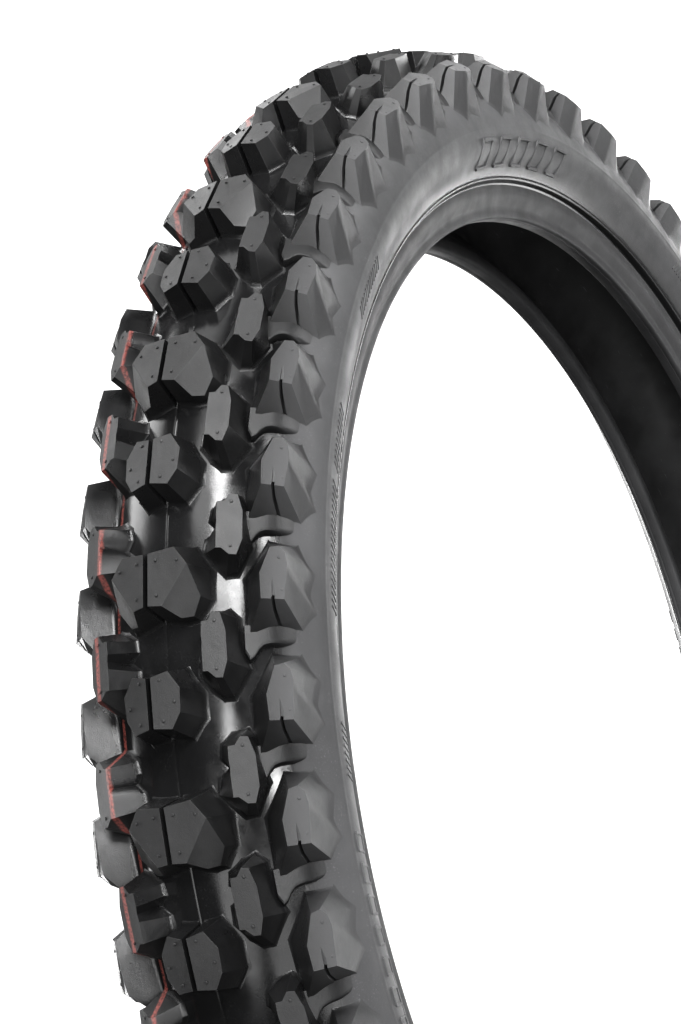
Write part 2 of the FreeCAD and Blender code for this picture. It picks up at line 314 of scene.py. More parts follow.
def slot_cutter(slot, middle, name):
    """A thin plate along a line on the block's face, standing in towards the block's middle."""
    start, end = (on_tire(w, FLOOR_R + h, s) for w, h, s in slot[:2])
    along = (end - start) / np.linalg.norm(end - start)
    inward = middle - (start + end) / 2
    inward -= along * inward.dot(along)
    inward /= np.linalg.norm(inward)
    half = np.cross(along, inward) * SLOT_WIDTH / 2
    loop = [start - inward * SLOT_REACH, end - inward * SLOT_REACH,
            end + inward * slot[2], start + inward * slot[2]]
    mesh = bmesh.new()
    near = [mesh.verts.new((point - half) * MM) for point in loop]
    far = [mesh.verts.new((point + half) * MM) for point in loop]
    mesh.faces.new(near)
    mesh.faces.new(far[::-1])
    for i in range(4):
        j = (i + 1) % 4
        mesh.faces.new([near[i], far[i], far[j], near[j]])
    bmesh.ops.recalc_face_normals(mesh, faces=mesh.faces)
    return mesh_object(name, mesh)


def carve(obj, cutter):
    """Takes the cutter out of a block, and removes the cutter."""
    cut = obj.modifiers.new("cut", "BOOLEAN")
    cut.operation = "DIFFERENCE"
    cut.solver = "EXACT"
    cut.object = cutter
    bpy.context.view_layer.update()
    graph = bpy.context.evaluated_depsgraph_get()
    result = bpy.data.meshes.new_from_object(obj.evaluated_get(graph))
    obj.modifiers.clear()
    obj.data = result
    bpy.data.objects.remove(cutter)


def copies(obj, first, step, side):
    """Vertices and faces of a block repeated round the tire, on one side (1 right, -1 left)."""
    co = np.zeros(len(obj.data.vertices) * 3)
    obj.data.vertices.foreach_get("co", co)
    co = co.reshape(-1, 3)
    polygons = [list(polygon.vertices) for polygon in obj.data.polygons]
    if side < 0:
        polygons = [polygon[::-1] for polygon in polygons]
    verts, faces = [], []
    for index in range(0, PITCHES, step):
        angle = FIRST_BLOCK + (first + index) * PITCH
        cos, sin = math.cos(angle), math.sin(angle)
        base = len(verts) * len(co)
        verts.append(np.column_stack([
            co[:, 0] * cos + co[:, 2] * sin, co[:, 1] * side, co[:, 2] * cos - co[:, 0] * sin]))
        faces += [[v + base for v in polygon] for polygon in polygons]
    return np.concatenate(verts), faces


def mesh_from(name, verts, faces):
    data = bpy.data.meshes.new(name)
    data.from_pydata([tuple(v) for v in verts], [], faces)
    data.update()
    obj = bpy.data.objects.new(name, data)
    scene.collection.objects.link(obj)
    return obj


def plane_height(block, w, s):
    """Height of a block's main top face at a place, from the plane that fits its corners best."""
    cap = block.get("caps", [list(range(len(block["top"])))])[0]
    corners = np.array([block["top"][i] for i in cap])
    system = np.column_stack([corners[:, 0], corners[:, 2], np.ones(len(corners))])
    slope_w, slope_s, offset = np.linalg.lstsq(system, corners[:, 1], rcond=None)[0]
    return slope_w * w + slope_s * s + offset, slope_w


def add_pips(obj, block):
    """Joins the vent stubs on the block's top: small domes with a sunken foot."""
    mesh = bmesh.new()
    mesh.from_mesh(obj.data)
    for w, s in block["pips"]:
        height, slope = plane_height(block, w, s)
        centre = on_tire(w, FLOOR_R + height, s)
        up = on_tire(w - slope, FLOOR_R + height + 1.0, s) - centre
        up /= np.linalg.norm(up)
        side = np.cross(up, (0.0, 1.0, 0.0))
        side /= np.linalg.norm(side)
        other = np.cross(up, side)
        rings = []
        for scale, rise in PIP_LEVELS:
            ring = []
            for k in range(PIP_SIDES):
                angle = 2 * math.pi * k / PIP_SIDES
                offset = (side * math.cos(angle) + other * math.sin(angle)) * PIP_RADIUS * scale
                ring.append(mesh.verts.new((centre + up * rise + offset) * MM))
            rings.append(ring)
        faces = [mesh.faces.new(rings[0]), mesh.faces.new(rings[-1])]
        for lower, upper in zip(rings, rings[1:]):
            for k in range(PIP_SIDES):
                j = (k + 1) % PIP_SIDES
                faces.append(mesh.faces.new([lower[k], lower[j], upper[j], upper[k]]))
        bmesh.ops.recalc_face_normals(mesh, faces=faces)
    mesh.to_mesh(obj.data)
    mesh.free()


def soften(obj, width):
    """Rounds the edges of a moulded piece and smooths its shading."""
    bevel = obj.modifiers.new("edges", "BEVEL")
    bevel.width = width * MM
    bevel.segments = 2
    bevel.limit_method = "ANGLE"
    bevel.angle_limit = ROUNDED_ANGLE
    for polygon in obj.data.polygons:
        polygon.use_smooth = True
    normals = obj.modifiers.new("normals", "WEIGHTED_NORMAL")
    normals.weight = 80
    normals.keep_sharp = False


def add_ledge(obj):
    """Joins the low shelf in front of a shoulder block, rounded off along its far edge."""
    columns = [(*LEDGE_START, 0.0)]
    columns += [(p, back, min(1.0, (LEDGE_BACK[-1][0] - p) / LEDGE_FADE)) for p, back in LEDGE_BACK]
    mesh = bmesh.new()
    mesh.from_mesh(obj.data)
    top, low = [], []
    for p, back, share in columns:
        height = (LEDGE_HEIGHT + LEDGE_SINK) * share - LEDGE_SINK
        places = [(LEDGE_FRONT, height)]
        places += [(back + past, height * part - drop) for past, part, drop in LEDGE_EDGE]
        top.append([mesh.verts.new(on_tire(*raised(p, h), s) * MM) for s, h in places])
        low.append([mesh.verts.new(on_tire(*raised(p, -LEDGE_ROOT), s) * MM) for s, _ in places])
    faces = []
    last, far = len(columns) - 1, len(LEDGE_EDGE)
    for i in range(last):
        for j in range(far):
            faces.append(mesh.faces.new(
                [top[i][j], top[i + 1][j], top[i + 1][j + 1], top[i][j + 1]]))
            faces.append(mesh.faces.new(
                [low[i][j], low[i][j + 1], low[i + 1][j + 1], low[i + 1][j]]))
        for j in (0, far):
            faces.append(mesh.faces.new([top[i][j], low[i][j], low[i + 1][j], top[i + 1][j]]))
    for i in (0, last):
        for j in range(far):
            faces.append(mesh.faces.new([top[i][j], top[i][j + 1], low[i][j + 1], low[i][j]]))
    bmesh.ops.recalc_face_normals(mesh, faces=faces)
    mesh.to_mesh(obj.data)
    mesh.free()


def block_row(name, block, first, step, material):
    """Builds one kind of block, and repeats it round both sides of the tire."""
    prototype = block_object(name + "_one", block)
    add_pips(prototype, block)
    if block is SHOULDER:
        add_ledge(prototype)
    for side, side_name in ((1, "right"), (-1, "left")):
        node = f"{name}_{side_name}"
        verts, faces = copies(prototype, first, step, side)
        obj = mesh_from(node + "_moulded", verts, faces)
        soften(obj, BLOCK_EDGE)
        finish_piece(obj, node, material)
    bpy.data.objects.remove(prototype)


def finish_piece(obj, node, material):
    """Lets a moulded piece stand in for a CAD node and material."""
    obj.data.materials.clear()
    obj.data.materials.append(material)
    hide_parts(node)
    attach(obj, "root")


# ---------------------------------------------------------------- revolved skins

def revolved(name, outline, side=1):
    """A closed ring from a closed outline of (w, r) points."""
    angles = np.arange(RING_STEPS) * 2 * math.pi / RING_STEPS
    w = np.array([point[0] for point in outline]) * side
    r = np.array([point[1] for point in outline])
    verts = np.zeros((RING_STEPS, len(outline), 3))
    verts[:, :, 0] = -np.outer(np.cos(angles), r)
    verts[:, :, 1] = -w
    verts[:, :, 2] = np.outer(np.sin(angles), r)
    count = len(outline)
    faces = []
    for i in range(RING_STEPS):
        a = i * count
        b = ((i + 1) % RING_STEPS) * count
        for j in range(count):
            k = (j + 1) % count
            faces.append((a + j, a + k, b + k, b + j))
    obj = mesh_from(name, verts.reshape(-1, 3) * MM, faces)
    mesh = bmesh.new()
    mesh.from_mesh(obj.data)
    bmesh.ops.recalc_face_normals(mesh, faces=mesh.faces)
    for edge in mesh.edges:
        edge.smooth = edge.calc_face_angle(0.0) < SHARP_ANGLE
    for face in mesh.faces:
        face.smooth = True
    mesh.to_mesh(obj.data)
    mesh.free()
    return obj


def spaced(start, end, step):
    """Numbers from start to end, evenly spaced and no more than a step apart."""
    count = max(2, int(math.ceil(abs(end - start) / step)) + 1)
    return [start + (end - start) * i / (count - 1) for i in range(count)]


# Layers under the rubber, as the frame has them: the ply line's outer face.
PLY_CROWN = 46.3
PLY_SIDE = 19.7
PLY_SIDE_START = math.radians(62.0)
PLY_SIDE_END = math.radians(126.0)
UNDERTREAD_ARC = 48.9
UNDERTREAD_EDGE = math.radians(40.0)
PLY_SIDE_CENTRE = arc_point(CROWN_CENTRE, PLY_CROWN - PLY_SIDE, PLY_SIDE_START)
SEAM_HALF = 0.2
SEAM_DEPTH = 0.15
SEAM_EDGE = 0.5
SEAM_CLEAR = 1.6


def tread_floor():
    """The rubber floor between the blocks, with the fine mould line along its middle."""
    across = spaced(-TREAD_EDGE, -SEAM_CLEAR, 1.0)
    seam = [(-SEAM_EDGE, 0.0), (-SEAM_HALF, -SEAM_DEPTH),
            (SEAM_HALF, -SEAM_DEPTH), (SEAM_EDGE, 0.0)]
    outline = [raised(p, 0.0) for p in across]
    outline += [raised(p, height) for p, height in seam]
    outline += [raised(-p, 0.0) for p in reversed(across)]
    outline.append(arc_point(CROWN_CENTRE, PLY_CROWN, TREAD_EDGE_ANGLE))
    outline.append(arc_point(CROWN_CENTRE, PLY_CROWN, UNDERTREAD_EDGE))
    outline += [arc_point(CROWN_CENTRE, UNDERTREAD_ARC, angle)
                for angle in spaced(UNDERTREAD_EDGE, -UNDERTREAD_EDGE, 0.1)]
    outline.append(arc_point(CROWN_CENTRE, PLY_CROWN, -UNDERTREAD_EDGE))
    outline.append(arc_point(CROWN_CENTRE, PLY_CROWN, -TREAD_EDGE_ANGLE))
    return revolved("tread_floor", outline)


RIDGE_AT = 64.5
RIDGE_HEIGHT = 0.16
RIDGE_WIDTH = 0.6
RIM_RUN = 9.4
RIM_LINE = [(37.9, 284.6), (38.0, 284.0), (37.8, 283.4), (37.3, 282.9), (36.5, 282.5),
            (35.6, 282.2), (35.0, 281.8), (34.7, 281.2)]
CASING_FOOT = [(33.6, 281.4), (32.6, 282.0)]


def sidewall_outline():
    """Outer face from the tread edge down to the rim line, then back up along the casing."""
    run_end = CROWN_LENGTH + SHOULDER_LENGTH + BULGE_LENGTH + RIM_RUN
    outline = []
    for p in spaced(TREAD_EDGE, run_end, 0.7):
        height = RIDGE_HEIGHT * math.exp(-((p - RIDGE_AT) / RIDGE_WIDTH) ** 2)
        outline.append(raised(p, height))
    outline += RIM_LINE + CASING_FOOT
    outline += [arc_point(PLY_SIDE_CENTRE, PLY_SIDE, angle)
                for angle in spaced(PLY_SIDE_END, PLY_SIDE_START, 0.12)]
    outline.append(arc_point(CROWN_CENTRE, PLY_CROWN, TREAD_EDGE_ANGLE))
    return outline


HEEL_RADIUS = 1.5
CORE_RADIUS = 3.3
CORE_CENTRE = (26.4, 271.0)


def chafer_outline():
    """The bead's outer face, heel, seat and toe, and back round the wires' insulation."""
    face = HEEL_W + HEEL_RADIUS
    outline = [(34.7, 281.2), (34.6, 280.6), (34.6, 280.0), (34.6, 279.2), (34.5, 278.3),
               (34.3, 277.2), (33.9, 276.1), (33.3, 275.0), (32.6, 273.9), (31.8, 272.8),
               (31.1, 271.8), (face, 270.9), (face, 269.6), (face, 268.3)]
    for step in range(1, 6):
        angle = math.pi / 2 * step / 5
        outline.append((HEEL_W + HEEL_RADIUS * math.cos(angle),
                        SEAT_R + HEEL_RADIUS * (1 - math.sin(angle))))
    outline += [(27.9, SEAT_R), (27.6, SEAT_R + 0.25), (27.3, SEAT_R), (23.2, SEAT_R + 0.05),
                (22.6, SEAT_R + 0.5), (22.15, SEAT_R + 1.4),
                (21.95, SEAT_R + 2.4), (22.3, 271.0), (22.9, 273.4), (24.6, 276.2), (27.2, 279.4)]
    outline += [(27.9, 279.0), (25.6, 275.9), (24.1, 273.4)]
    for degrees in range(160, 341, 30):
        angle = math.radians(90 - degrees)
        outline.append(arc_point(CORE_CENTRE, CORE_RADIUS, angle))
    outline += [(31.4, 274.4), (33.4, 279.6), (33.9, 281.0)]
    return outline


LINER_CROWN = 44.1
LINER_SIDE = 17.5
LINER_THICK = 0.8


def liner_outline():
    """Inner face of the casing from bead to bead, as a closed sheet."""
    def half(crown, side):
        points = [arc_point(CROWN_CENTRE, crown, angle)
                  for angle in spaced(0.0, PLY_SIDE_START, 0.05)]
        points += [arc_point(PLY_SIDE_CENTRE, side, angle)
                   for angle in spaced(PLY_SIDE_START, PLY_SIDE_END, 0.06)]
        return points
    inner = half(LINER_CROWN, LINER_SIDE) + [(27.0, 279.1), (24.5, 276.0), (22.95, 273.6)]
    outer = half(LINER_CROWN + LINER_THICK, LINER_SIDE + LINER_THICK)
    outer += [(27.9, 278.8), (25.2, 275.6), (23.5, 273.3)]
    right = inner + outer[::-1]
    left = [(-w, r) for w, r in reversed(inner)][:-1] + right[:len(inner)]
    back = [(w, r) for w, r in reversed(outer)] + [(-w, r) for w, r in outer[1:]]
    return left + back


# ---------------------------------------------------------------- moulded marks

MARK_R = 300.0
BAR_FLARE = 0.25
BAR_SINK = 0.3
# Rows of outlined boxes: (count, first angle and step in degrees), then
# (low edge, high edge, length, lean, width, height).
BOX_ROWS = [((5, 57.0, 4.1), (69.5, 82.5, 11.0, 6.0, 1.5, 0.9)),
            ((7, -21.0, -2.2), (67.8, 74.6, 6.4, 1.6, 0.9, 0.45))]
# Rows of small bars: (middle angle in degrees, count), and for all of them
# (low end, high end, spacing, lean, width, height).
BAR_ROWS = [(25.0, 13), (9.5, 11), (0.5, 20), (-14.6, 8), (103.0, 7)]
SMALL_BAR = (69.5, 74.5, 2.7, 2.2, 0.9, 0.4)


def bar(mesh, start, end, width, height):
    """A raised bar on the sidewall between two places (p, s), with sloping sides."""
    start, end = np.array(start), np.array(end)
    along = (end - start) / np.linalg.norm(end - start)
    across = np.array([-along[1], along[0]])
    rings = []
    for grow, rise in ((BAR_FLARE, -BAR_SINK), (0.0, height)):
        corners = []
        for a, b in ((-1, -1), (1, -1), (1, 1), (-1, 1)):
            base = start if a < 0 else end
            place = base + along * a * grow + across * b * (width / 2 + grow)
            w, r = raised(place[0], rise)
            corners.append(mesh.verts.new(on_tire(w, r, place[1] * PATTERN_R / MARK_R) * MM))
        rings.append(corners)
    faces = [mesh.faces.new(rings[0]), mesh.faces.new(rings[1])]
    for i in range(4):
        j = (i + 1) % 4
        faces.append(mesh.faces.new([rings[0][i], rings[0][j], rings[1][j], rings[1][i]]))
    bmesh.ops.recalc_face_normals(mesh, faces=faces)


def mark_bars(mesh, at_degrees, count, p_low, p_high, spacing, lean, width, height):
    """A row of slanted bars centred on an angle round the tire."""
    middle = math.radians(at_degrees) * MARK_R
    for index in range(count):
        s = middle + (index - (count - 1) / 2) * spacing
        bar(mesh, (p_high, s - lean / 2), (p_low, s + lean / 2), width, height)


def frame_mark(mesh, at_degrees, p_low, p_high, length, lean, width, height):
    """A raised outline of a slanted box."""
    middle = math.radians(at_degrees) * MARK_R
    half = length / 2
    corners = [(p_high, middle - half - lean / 2), (p_high, middle + half - lean / 2),
               (p_low, middle + half + lean / 2), (p_low, middle - half + lean / 2)]
    for start, end in zip(corners, corners[1:] + corners[:1]):
        bar(mesh, start, end, width, height)


def sidewall_marks():
    """Plain bars and boxes, where a tire carries its moulded markings."""
    mesh = bmesh.new()
    for turn in (0.0, 180.0):
        for (count, first, step), box in BOX_ROWS:
            for index in range(count):
                frame_mark(mesh, turn + first + step * index, *box)
        for at_degrees, count in BAR_ROWS:
            mark_bars(mesh, turn + at_degrees, count, *SMALL_BAR)
    return mesh_object("sidewall_marks_one", mesh)


# ---------------------------------------------------------------- materials

# A pair of tones is what a surface's clouds, ribs or streaks blend.  A single tone is laid over.
# Bands are (start, end) of a change, in metres from the centre plane.
BLOCK_TONES = ((0.009, 0.009, 0.0092), (0.016, 0.016, 0.0163))
# Flank tones: painted shade, darker than the tops.
SHADED_FLANK_TONES = ((0.006, 0.006, 0.0062), (0.010, 0.010, 0.0103))
FLOOR_TONES = ((0.006, 0.006, 0.0062), (0.010, 0.010, 0.0103))
SIDE_TONES = ((0.034, 0.034, 0.035), (0.046, 0.046, 0.0475))
BEAD_TONES = ((0.026, 0.026, 0.027), (0.036, 0.036, 0.037))
CORE_TONES = ((0.012, 0.012, 0.012), (0.02, 0.02, 0.02))
LINER_TONES = ((0.016, 0.016, 0.0163), (0.03, 0.03, 0.0308))
CORD_TONES = ((0.02, 0.018, 0.015), (0.09, 0.075, 0.055))
BRONZE_TONES = ((0.5, 0.38, 0.2), (0.62, 0.5, 0.3))
PAPER_TONES = ((0.78, 0.78, 0.78), (0.82, 0.82, 0.82))
# Outer faces of the shoulder blocks: painted light, a lighter tone where they are lit.
LIT_OUTER_BLOCK_TONE = (0.036, 0.036, 0.037)
GAP_TONE = (0.008, 0.008, 0.0082)
SCUFF_TONE = (0.16, 0.16, 0.17)
LINE_TONE = (0.32, 0.09, 0.075)
# Widths where the shoulder blocks' outer faces take the painted light tone, and where every face
# counts as a top.
LIT_OUTER_BLOCK_BAND = (0.036, 0.048)
TOP_BAND = (0.037, 0.047)
GAP_BAND = (0.0362, 0.0425)
# Height over the floor in metres, and share of facing straight out, where a face becomes a top.
# Faces below these are the flanks and the creases at the block foot, which take painted shade.
CLEAR_OF_FLOOR = (0.0014, 0.004)
FACING_OUT = (0.15, 0.85)
FLANK_ROUGH = (0.24, 0.3)
GAP_ROUGH = 0.17
ROUGH_BELOW = 0.05
ROUGH_ABOVE = 0.07
DUST_GAIN = 3.2
DUST_SHARE = 0.6
# Place of the coloured line, its half width where it is full and where it ends, and its wobble.
LINE_AT = 0.0262
LINE_HALF = (0.0006, 0.0013)
LINE_WOBBLE = 0.0008


class Graph:
    """Short forms for building a node material."""

    def __init__(self, name):
        self.material = bpy.data.materials.new(name)
        self.material.use_nodes = True
        self.tree = self.material.node_tree
        self.shader = self.tree.nodes["Principled BSDF"]
        self.colour = self.clouds = self.rough = None
        self.texture = self.add("ShaderNodeTexCoord")
        self.place = self.texture.outputs["Object"]

    def add(self, kind, **inputs):
        node = self.tree.nodes.new(kind)
        for key, value in inputs.items():
            self.join(value, node.inputs[key])
        return node

    def join(self, value, socket):
        if isinstance(value, bpy.types.NodeSocket):
            self.tree.links.new(value, socket)
        else:
            socket.default_value = value

    def noise(self, scale, detail=3.0, roughness=0.55, place=None):
        node = self.add("ShaderNodeTexNoise", Scale=scale, Detail=detail, Roughness=roughness)
        self.join(place or self.place, node.inputs["Vector"])
        return node.outputs["Fac"]

    def ramp(self, value, low, high, to_low=0.0, to_high=1.0):
        node = self.add("ShaderNodeMapRange")
        node.interpolation_type = "SMOOTHSTEP"
        self.join(value, node.inputs["Value"])
        keys = ("From Min", "From Max", "To Min", "To Max")
        for key, number in zip(keys, (low, high, to_low, to_high)):
            node.inputs[key].default_value = number
        return node.outputs["Result"]

    def math(self, operation, a, b=0.0):
        node = self.add("ShaderNodeMath")
        node.operation = operation
        self.join(a, node.inputs[0])
        self.join(b, node.inputs[1])
        return node.outputs[0]

    def mix(self, factor, a, b):
        node = self.add("ShaderNodeMix")
        node.data_type = "RGBA"
        self.join(factor, node.inputs["Factor"])
        self.join(a if isinstance(a, bpy.types.NodeSocket) else (*a, 1.0), node.inputs[6])
        self.join(b if isinstance(b, bpy.types.NodeSocket) else (*b, 1.0), node.inputs[7])
        return node.outputs[2]

    def bump(self, height, strength, distance, normal=None):
        node = self.add("ShaderNodeBump", Height=height, Strength=strength, Distance=distance)
        if normal is not None:
            self.join(normal, node.inputs["Normal"])
        return node.outputs["Normal"]

    def set(self, socket, value):
        self.join(value, self.shader.inputs[socket])

    def axis(self, name):
        split = self.add("ShaderNodeSeparateXYZ", Vector=self.place)
        return split.outputs[name]


def rubber(name, tones, rough, grain=0.2, specular=0.5):
    """Satin rubber: cloudy colour, dusty speckle, and a fine moulded grain."""
    dark, light = tones
    g = Graph(name)
    g.clouds = g.ramp(g.noise(28.0, 4.0), 0.32, 0.68)
    colour = g.mix(g.clouds, dark, light)
    dust = g.ramp(g.noise(1500.0, 3.0, 0.7), 0.56, 0.74)
    bloom = g.ramp(g.noise(60.0, 5.0, 0.65), 0.4, 0.7)
    dust_level = g.math("MULTIPLY", g.math("MULTIPLY", dust, bloom), DUST_SHARE)
    dusty = tuple(min(1.0, c * DUST_GAIN) for c in light)
    g.colour = g.mix(dust_level, colour, dusty)
    g.set("Base Color", g.colour)
    g.rough = g.ramp(g.noise(90.0, 4.0), 0.3, 0.7, rough - ROUGH_BELOW, rough + ROUGH_ABOVE)
    g.set("Roughness", g.rough)
    g.shader.inputs["Specular IOR Level"].default_value = specular
    fine = g.noise(2200.0, 3.0, 0.65)
    broad = g.noise(260.0, 3.0, 0.5)
    normal = g.bump(broad, grain * 0.6, 0.0006)
    g.set("Normal", g.bump(fine, grain, 0.00025, normal))
    return g


def length(g, *parts):
    """Length of a vector given by its parts."""
    squares = [g.math("MULTIPLY", part, part) for part in parts]
    total = squares[0]
    for square in squares[1:]:
        total = g.math("ADD", total, square)
    return g.math("SQRT", total)


def top_share(g):
    """1 on faces that look straight out and stand clear of the floor, 0 on flanks and fillets. It
    sets the top roughness, and it masks the painted shade that darkens the flanks and the creases
    at the block foot.
    """
    x, y, z = (g.axis(name) for name in "XYZ")
    radius = length(g, x, z)
    out = g.math("SUBTRACT", radius, CROWN_CENTRE[1] * MM)
    share = g.math("DIVIDE", out, radius)
    up = g.add("ShaderNodeCombineXYZ",
               X=g.math("MULTIPLY", x, share), Y=y, Z=g.math("MULTIPLY", z, share))
    unit = g.add("ShaderNodeVectorMath")
    unit.operation = "NORMALIZE"
    g.join(up.outputs[0], unit.inputs[0])
    facing = g.add("ShaderNodeVectorMath")
    facing.operation = "DOT_PRODUCT"
    g.join(unit.outputs[0], facing.inputs[0])
    g.join(g.texture.outputs["Normal"], facing.inputs[1])
    width = g.math("ABSOLUTE", y)
    over_crown = g.math("SUBTRACT", length(g, out, y), CROWN_ARC * MM)
    side_r = g.math("SUBTRACT", radius, SHOULDER_CENTRE[1] * MM)
    side_w = g.math("SUBTRACT", width, SHOULDER_CENTRE[0] * MM)
    over_shoulder = g.math("SUBTRACT", length(g, side_r, side_w), SHOULDER_ARC * MM)
    on_side = g.math("GREATER_THAN", width, g.math("MULTIPLY", out, math.tan(SHOULDER_START)))
    extra = g.math("MULTIPLY", on_side, g.math("SUBTRACT", over_shoulder, over_crown))
    clear = g.ramp(g.math("ADD", over_crown, extra), *CLEAR_OF_FLOOR)
    share = g.math("MULTIPLY", clear, g.ramp(facing.outputs["Value"], *FACING_OUT))
    # Far out on the shoulder every face counts as a top, so the flanks there lose their painted
    # shade and take the lighter top tone: painted light.
    return g.math("MAXIMUM", share, g.ramp(width, *TOP_BAND))


def coloured_line(g, colour):
    """The thin, worn red line that some makers paint round one side of the tread."""
    wobble = g.math("MULTIPLY", g.math("SUBTRACT", g.noise(40.0), 0.5), LINE_WOBBLE)
    distance = g.math("ABSOLUTE", g.math("SUBTRACT", g.math("ADD", g.axis("Y"), wobble), LINE_AT))
    line = g.ramp(distance, *LINE_HALF, 1.0, 0.0)
    worn = g.ramp(g.noise(900.0, 4.0, 0.7), 0.36, 0.6)
    strength = g.math("MULTIPLY", line, g.math("ADD", g.math("MULTIPLY", worn, 0.35), 0.1))
    return g.mix(strength, colour, LINE_TONE)


def tread_rubber(name, tones, rough):
    """Glossy rubber of the tread floor, with the coloured line."""
    g = rubber(name, tones, rough, grain=0.06, specular=0.33)
    g.set("Base Color", coloured_line(g, g.colour))
    return g.material


def sidewall_rubber(name, tones, rough):
    """Satin rubber, dark and glossy like the tread floor where it runs in between the blocks."""
    g = rubber(name, tones, rough, grain=0.2, specular=0.42)
    share = g.ramp(g.math("ABSOLUTE", g.axis("Y")), *GAP_BAND)
    g.set("Base Color", g.mix(share, GAP_TONE, g.colour))
    extra = g.math("MULTIPLY", share, g.math("SUBTRACT", g.rough, GAP_ROUGH))
    g.set("Roughness", g.math("ADD", GAP_ROUGH, extra))
    return g.material


def block_rubber(name, tones, rough):
    """Tread rubber with dull, dusty tops, and glossier flanks and foot creases darkened with
    painted shade; the outer shoulder is painted lighter, as lit.
    """
    g = rubber(name, tones, rough, grain=0.28, specular=0.42)
    top = top_share(g)
    # The flanks and the creases at the block foot take painted shade.
    flank = g.mix(g.clouds, *SHADED_FLANK_TONES)
    # The outer shoulder faces take a lighter tone: painted light.
    outer = g.ramp(g.math("ABSOLUTE", g.axis("Y")), *LIT_OUTER_BLOCK_BAND)
    face = g.mix(outer, g.mix(top, flank, g.colour), LIT_OUTER_BLOCK_TONE)
    g.set("Base Color", coloured_line(g, face))
    shine = g.ramp(g.noise(90.0, 4.0), 0.3, 0.7, *FLANK_ROUGH)
    g.set("Roughness", g.math("ADD", shine, g.math("MULTIPLY", top, rough - FLANK_ROUGH[0])))
    return g.material


def liner_rubber():
    """Smooth, nearly black inner surface with a few pale scuffs and specks."""
    g = Graph("liner_rubber")
    clouds = g.ramp(g.noise(30.0, 3.0), 0.3, 0.7)
    colour = g.mix(clouds, *LINER_TONES)
    stretch = g.add("ShaderNodeMapping", Vector=g.place)
    stretch.inputs["Rotation"].default_value = (0.3, 0.7, 0.2)
    stretch.inputs["Scale"].default_value = (1.0, 9.0, 1.0)
    scratches = g.ramp(g.noise(70.0, 6.0, 0.72, stretch.outputs["Vector"]), 0.64, 0.7)
    specks = g.ramp(g.noise(900.0, 2.0, 0.5), 0.74, 0.8)
    marks = g.math("MAXIMUM", g.math("MULTIPLY", scratches, 0.55), g.math("MULTIPLY", specks, 0.4))
    g.set("Base Color", g.mix(marks, colour, SCUFF_TONE))
    g.set("Roughness", g.ramp(g.noise(80.0, 4.0), 0.3, 0.7, 0.42, 0.6))
    g.set("Normal", g.bump(g.noise(500.0, 4.0), 0.1, 0.0005))
    return g.material


def cord_fabric():
    """Rubber-coated cord: fine parallel ribs on the bias."""
    g = Graph("ply_cord")
    turned = g.add("ShaderNodeMapping", Vector=g.place)
    turned.inputs["Rotation"].default_value = (0.6, 0.0, 0.8)
    ribs = g.add("ShaderNodeTexWave", Vector=turned.outputs["Vector"], Scale=260.0, Distortion=0.4)
    colour = g.mix(ribs.outputs["Fac"], *CORD_TONES)
    g.set("Base Color", colour)
    g.set("Roughness", g.ramp(g.noise(300.0), 0.3, 0.7, 0.6, 0.8))
    g.set("Normal", g.bump(ribs.outputs["Fac"], 0.4, 0.0004))
    return g.material


def bronze_wire():
    g = Graph("bead_wire_bronze")
    streaks = g.noise(900.0, 3.0)
    g.set("Base Color", g.mix(streaks, *BRONZE_TONES))
    g.shader.inputs["Metallic"].default_value = 1.0
    g.set("Roughness", g.ramp(streaks, 0.3, 0.7, 0.25, 0.42))
    g.set("Normal", g.bump(streaks, 0.1, 0.0002))
    return g.material


def floor_paper():
    g = Graph("studio_floor")
    tone = g.ramp(g.noise(3.0, 3.0), 0.3, 0.7)
    g.set("Base Color", g.mix(tone, *PAPER_TONES))
    g.shader.inputs["Roughness"].default_value = 0.7
    return g.material


# ---------------------------------------------------------------- building

block_material = block_rubber("block_rubber", BLOCK_TONES, rough=0.46)
floor_material = tread_rubber("tread_floor_rubber", FLOOR_TONES, rough=0.15)
side_material = sidewall_rubber("sidewall_rubber", SIDE_TONES, rough=0.52)
bead_material = rubber("bead_rubber", BEAD_TONES, rough=0.55, specular=0.4).material
core_material = rubber("core_rubber", CORE_TONES, rough=0.6).material
liner_material = liner_rubber()

for name, block, first, step in BLOCK_ROWS:
    block_row(name, block, first, step, block_material)

finish_piece(tread_floor(), "tread_band", floor_material)
finish_piece(revolved("inner_skin", liner_outline()), "inner_liner", liner_material)
marks = sidewall_marks()
mark_co = [tuple(v.co) for v in marks.data.vertices]
mark_faces = [list(polygon.vertices) for polygon in marks.data.polygons]
bpy.data.objects.remove(marks)
for side, side_name in ((1, "right"), (-1, "left")):
    finish_piece(revolved("sidewall_skin_" + side_name, sidewall_outline(), side),
                 "sidewall_" + side_name, side_material)
    finish_piece(revolved("bead_skin_" + side_name, chafer_outline(), side),
                 "chafer_" + side_name, bead_material)
    faces = mark_faces if side > 0 else [face[::-1] for face in mark_faces]
    bars = mesh_from("sidewall_marks_" + side_name,
                     [(x, y * side, z) for x, y, z in mark_co], faces)
    soften(bars, MARK_EDGE)
    bars.data.materials.append(side_material)
    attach(bars, "root")

cord_material = cord_fabric()
hidden_finish = {"casing_ply": cord_material, "breaker": cord_material, "bead_wires": bronze_wire()}
for node, obj in frame["nodes"].items():
    material = next((m for key, m in hidden_finish.items() if node.startswith(key)), core_material)
    obj.data.materials.clear()
    obj.data.materials.append(material)


# ---------------------------------------------------------------- studio

